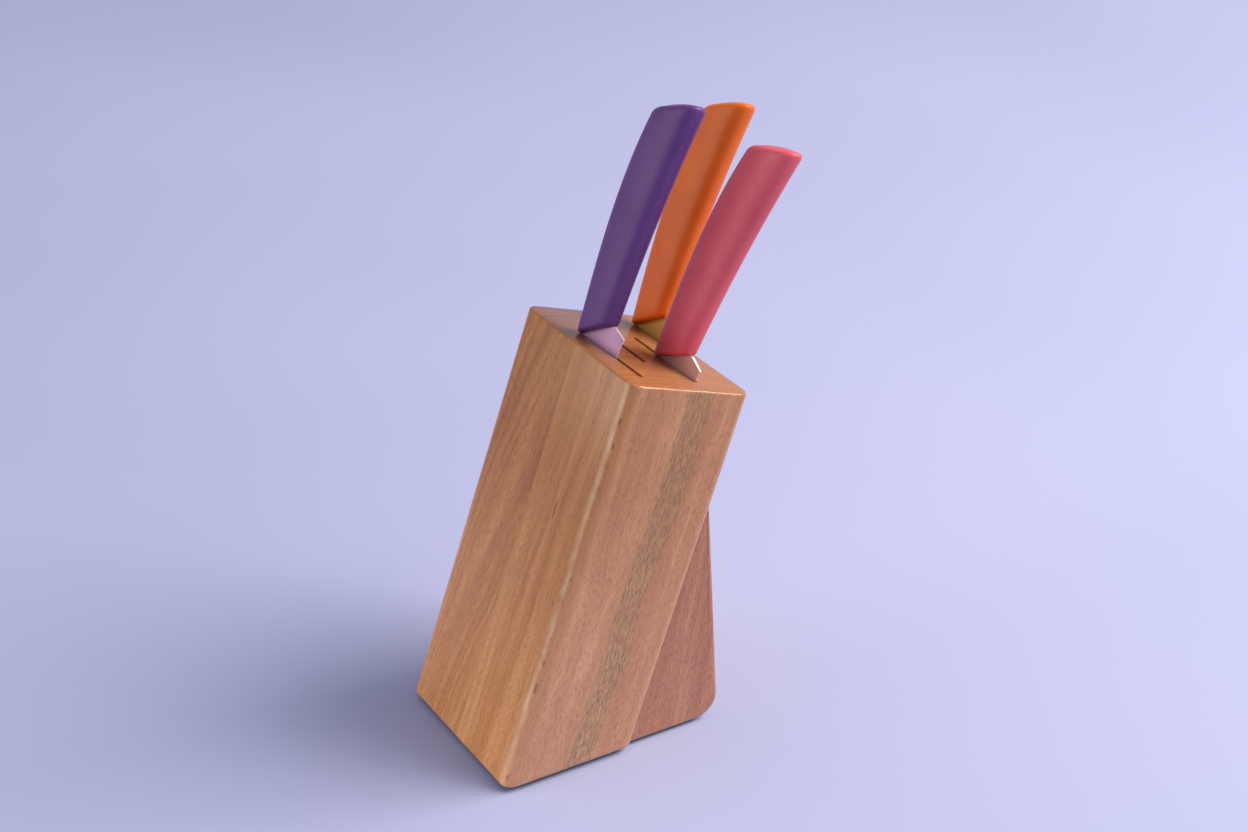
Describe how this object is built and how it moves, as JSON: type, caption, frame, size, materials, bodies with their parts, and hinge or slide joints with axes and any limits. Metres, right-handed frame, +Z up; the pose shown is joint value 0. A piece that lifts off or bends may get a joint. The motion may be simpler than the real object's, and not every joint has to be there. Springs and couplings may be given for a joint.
{
  "type": "knife block with knives",
  "caption": "Slanted beech knife block propped by a wedge foot, with slots in its square top and curved plastic-handled knives standing in them.",
  "frame": {"origin": "on the table plane, under the middle of the bounding box of the whole with its knives in", "axes": "+Z up, +X across the block's width, -Y towards the side the block leans and the handles point to"},
  "size_m": [0.1102, 0.1728, 0.3365],
  "materials": {
    "beech": "satin clear lacquer",
    "dark_beech": "satin clear lacquer",
    "dowel_wood": "bare",
    "pad_rubber": "matt",
    "purple_plastic": "satin moulded",
    "orange_plastic": "satin moulded",
    "coral_plastic": "satin moulded",
    "lilac_coated_steel": "satin non-stick coating",
    "olive_coated_steel": "satin non-stick coating",
    "rose_coated_steel": "satin non-stick coating"
  },
  "bodies": {
    "block": {"rear_board": "beech", "second_board": "beech", "middle_board": "beech", "fourth_board": "beech", "front_board": "beech", "wedge_foot": "dark_beech", "dowel_left": "dowel_wood", "dowel_right": "dowel_wood", "pad_rear_left": "pad_rubber", "pad_rear_right": "pad_rubber", "pad_front_left": "pad_rubber", "pad_front_right": "pad_rubber"},
    "chef_knife": {"chef_blade": "lilac_coated_steel", "chef_handle": "purple_plastic"},
    "carving_knife": {"carving_blade": "olive_coated_steel", "carving_handle": "orange_plastic"},
    "utility_knife": {"utility_blade": "rose_coated_steel", "utility_handle": "coral_plastic"}
  },
  "joints": [
    {"name": "chef_knife_lift", "type": "slide", "parent": "block", "child": "chef_knife", "axis": [0.0485, -0.3053, 0.951], "range_m": [0, 0.195]},
    {"name": "carving_knife_lift", "type": "slide", "parent": "block", "child": "carving_knife", "axis": [0.0684, -0.305, 0.9499], "range_m": [0, 0.19]},
    {"name": "utility_knife_lift", "type": "slide", "parent": "block", "child": "utility_knife", "axis": [-0.0743, -0.3049, 0.9495], "range_m": [0, 0.16]}
  ]
}
